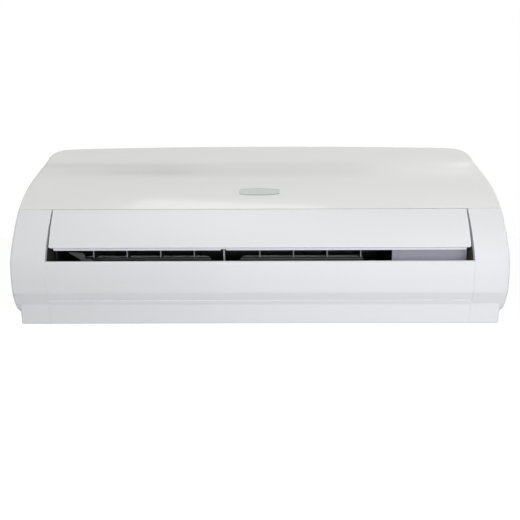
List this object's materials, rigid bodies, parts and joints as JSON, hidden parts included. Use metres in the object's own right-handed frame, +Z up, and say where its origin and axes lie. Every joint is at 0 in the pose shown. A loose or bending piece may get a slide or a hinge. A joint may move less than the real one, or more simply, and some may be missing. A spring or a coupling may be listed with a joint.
{
  "type": "mini split indoor unit",
  "caption": "Wall-mounted indoor unit of a split air conditioner, with a lift-up front panel, a long louver, side-to-side vanes, a cross-flow fan, coil and filters.",
  "frame": {"origin": "centre of the wall plate's back face, on the wall", "axes": "+X to the right seen from the room, +Y into the wall, +Z up; the front faces -Y"},
  "size_m": [0.8, 0.2323, 0.2965],
  "materials": {
    "gloss_white": "moulded, high gloss",
    "satin_white": "moulded, soft gloss",
    "chassis_white": "moulded, fine texture",
    "badge_grey": "satin metallic film",
    "duct_black": "moulded, fine texture",
    "grey_plastic": "moulded, matt",
    "dark_plastic": "moulded, matt",
    "black_plastic": "moulded",
    "cream_plastic": "moulded",
    "filter_grey": "fine net on a moulded frame",
    "board_green": "coated circuit board",
    "black_rubber": "moulded",
    "fin_aluminium": "thin stamped fins",
    "copper": "drawn copper tube",
    "brass": "machined",
    "zinc_steel": "zinc plated sheet",
    "bright_steel": "turned"
  },
  "bodies": {
    "casing": {"chin_panel": "satin_white", "base_cover": "satin_white", "side_cover_left": "satin_white", "side_cover_right": "satin_white", "wall_plate": "zinc_steel", "rear_chassis": "duct_black", "front_frame": "chassis_white", "intake_grille": "satin_white", "drain_tray": "duct_black", "drain_spout": "grey_plastic", "outlet_blanking_wall": "grey_plastic", "louver_post": "chassis_white", "louver_bush": "grey_plastic", "louver_step_motor": "zinc_steel", "vane_rail_left": "grey_plastic", "vane_rail_right": "grey_plastic", "fan_end_bush": "black_rubber", "fan_motor": "zinc_steel", "motor_clamp": "chassis_white", "clamp_screw_upper": "bright_steel", "clamp_screw_lower": "bright_steel", "coil_front_lower": "fin_aluminium", "coil_front_upper": "fin_aluminium", "coil_rear": "fin_aluminium", "tube_sheet_left": "fin_aluminium", "tube_sheet_right": "fin_aluminium", "return_bend_1": "copper", "return_bend_2": "copper", "return_bend_3": "copper", "gas_pipe": "copper", "liquid_pipe": "copper", "gas_flare_nut": "brass", "liquid_flare_nut": "brass", "air_filter_left": "filter_grey", "air_filter_right": "filter_grey", "electrical_box": "zinc_steel", "electrical_box_cover": "chassis_white", "control_board": "board_green", "transformer": "zinc_steel", "capacitor": "black_plastic", "terminal_block": "cream_plastic", "receiver_board": "board_green"},
    "panel": {"front_panel": "gloss_white", "badge_plate": "badge_grey"},
    "louver": {"louver_blade": "satin_white", "louver_inner_skin": "satin_white", "louver_drive_hub": "grey_plastic"},
    "fan": {"fan_rotor": "dark_plastic", "fan_shaft": "bright_steel"},
    "run_button": {"manual_run_button": "grey_plastic"},
    "vane_left_1": {"vane_left_1": "grey_plastic"},
    "vane_left_2": {"vane_left_2": "grey_plastic"},
    "vane_left_3": {"vane_left_3": "grey_plastic"},
    "vane_left_4": {"vane_left_4": "grey_plastic"},
    "vane_link_left": {"vane_link_left": "dark_plastic"},
    "vane_right_1": {"vane_right_1": "grey_plastic"},
    "vane_right_2": {"vane_right_2": "grey_plastic"},
    "vane_right_3": {"vane_right_3": "grey_plastic"},
    "vane_right_4": {"vane_right_4": "grey_plastic"},
    "vane_link_right": {"vane_link_right": "dark_plastic"}
  },
  "joints": [
    {"name": "panel_hinge", "type": "hinge", "parent": "casing", "child": "panel", "pos_m": [0, -0.045, 0.135], "axis": [-1, 0, 0], "range_deg": [0, 60]},
    {"name": "louver_hinge", "type": "hinge", "parent": "casing", "child": "louver", "pos_m": [0, -0.1857, 0.0278], "axis": [-1, 0, 0], "range_deg": [0, 60]},
    {"name": "fan_spin", "type": "hinge", "parent": "casing", "child": "fan", "pos_m": [0, -0.092, -0.018], "axis": [1, 0, 0], "continuous": true},
    {"name": "run_button_press", "type": "slide", "parent": "casing", "child": "run_button", "axis": [0, 1, 0], "range_m": [0, 0.0015], "stiffness_N_per_m": 300, "springref_m": -0.001},
    {"name": "vane_left_1_pivot", "type": "hinge", "parent": "casing", "child": "vane_left_1", "pos_m": [-0.2745, -0.158, -0.062], "axis": [0, 0, 1], "range_deg": [-30, 30]},
    {"name": "vane_left_2_pivot", "type": "hinge", "parent": "casing", "child": "vane_left_2", "pos_m": [-0.219, -0.158, -0.062], "axis": [0, 0, 1], "range_deg": [-30, 30]},
    {"name": "vane_left_3_pivot", "type": "hinge", "parent": "casing", "child": "vane_left_3", "pos_m": [-0.1635, -0.158, -0.062], "axis": [0, 0, 1], "range_deg": [-30, 30]},
    {"name": "vane_left_4_pivot", "type": "hinge", "parent": "casing", "child": "vane_left_4", "pos_m": [-0.108, -0.158, -0.062], "axis": [0, 0, 1], "range_deg": [-30, 30]},
    {"name": "vane_link_left_slide", "type": "slide", "parent": "casing", "child": "vane_link_left", "axis": [1, 0, 0], "range_m": [-0.0072, 0.0072]},
    {"name": "vane_right_1_pivot", "type": "hinge", "parent": "casing", "child": "vane_right_1", "pos_m": [0.0005, -0.158, -0.062], "axis": [0, 0, 1], "range_deg": [-30, 30]},
    {"name": "vane_right_2_pivot", "type": "hinge", "parent": "casing", "child": "vane_right_2", "pos_m": [0.056, -0.158, -0.062], "axis": [0, 0, 1], "range_deg": [-30, 30]},
    {"name": "vane_right_3_pivot", "type": "hinge", "parent": "casing", "child": "vane_right_3", "pos_m": [0.1115, -0.158, -0.062], "axis": [0, 0, 1], "range_deg": [-30, 30]},
    {"name": "vane_right_4_pivot", "type": "hinge", "parent": "casing", "child": "vane_right_4", "pos_m": [0.167, -0.158, -0.062], "axis": [0, 0, 1], "range_deg": [-30, 30]},
    {"name": "vane_link_right_slide", "type": "slide", "parent": "casing", "child": "vane_link_right", "axis": [1, 0, 0], "range_m": [-0.0072, 0.0072]}
  ],
  "couplings": [
    {"joint": "vane_left_2_pivot", "follows": "vane_left_1_pivot", "ratio": 1},
    {"joint": "vane_left_3_pivot", "follows": "vane_left_1_pivot", "ratio": 1},
    {"joint": "vane_left_4_pivot", "follows": "vane_left_1_pivot", "ratio": 1},
    {"joint": "vane_link_left_slide", "follows": "vane_left_1_pivot", "m_per_rad": 0.0137},
    {"joint": "vane_right_2_pivot", "follows": "vane_right_1_pivot", "ratio": 1},
    {"joint": "vane_right_3_pivot", "follows": "vane_right_1_pivot", "ratio": 1},
    {"joint": "vane_right_4_pivot", "follows": "vane_right_1_pivot", "ratio": 1},
    {"joint": "vane_link_right_slide", "follows": "vane_right_1_pivot", "m_per_rad": 0.0137}
  ]
}
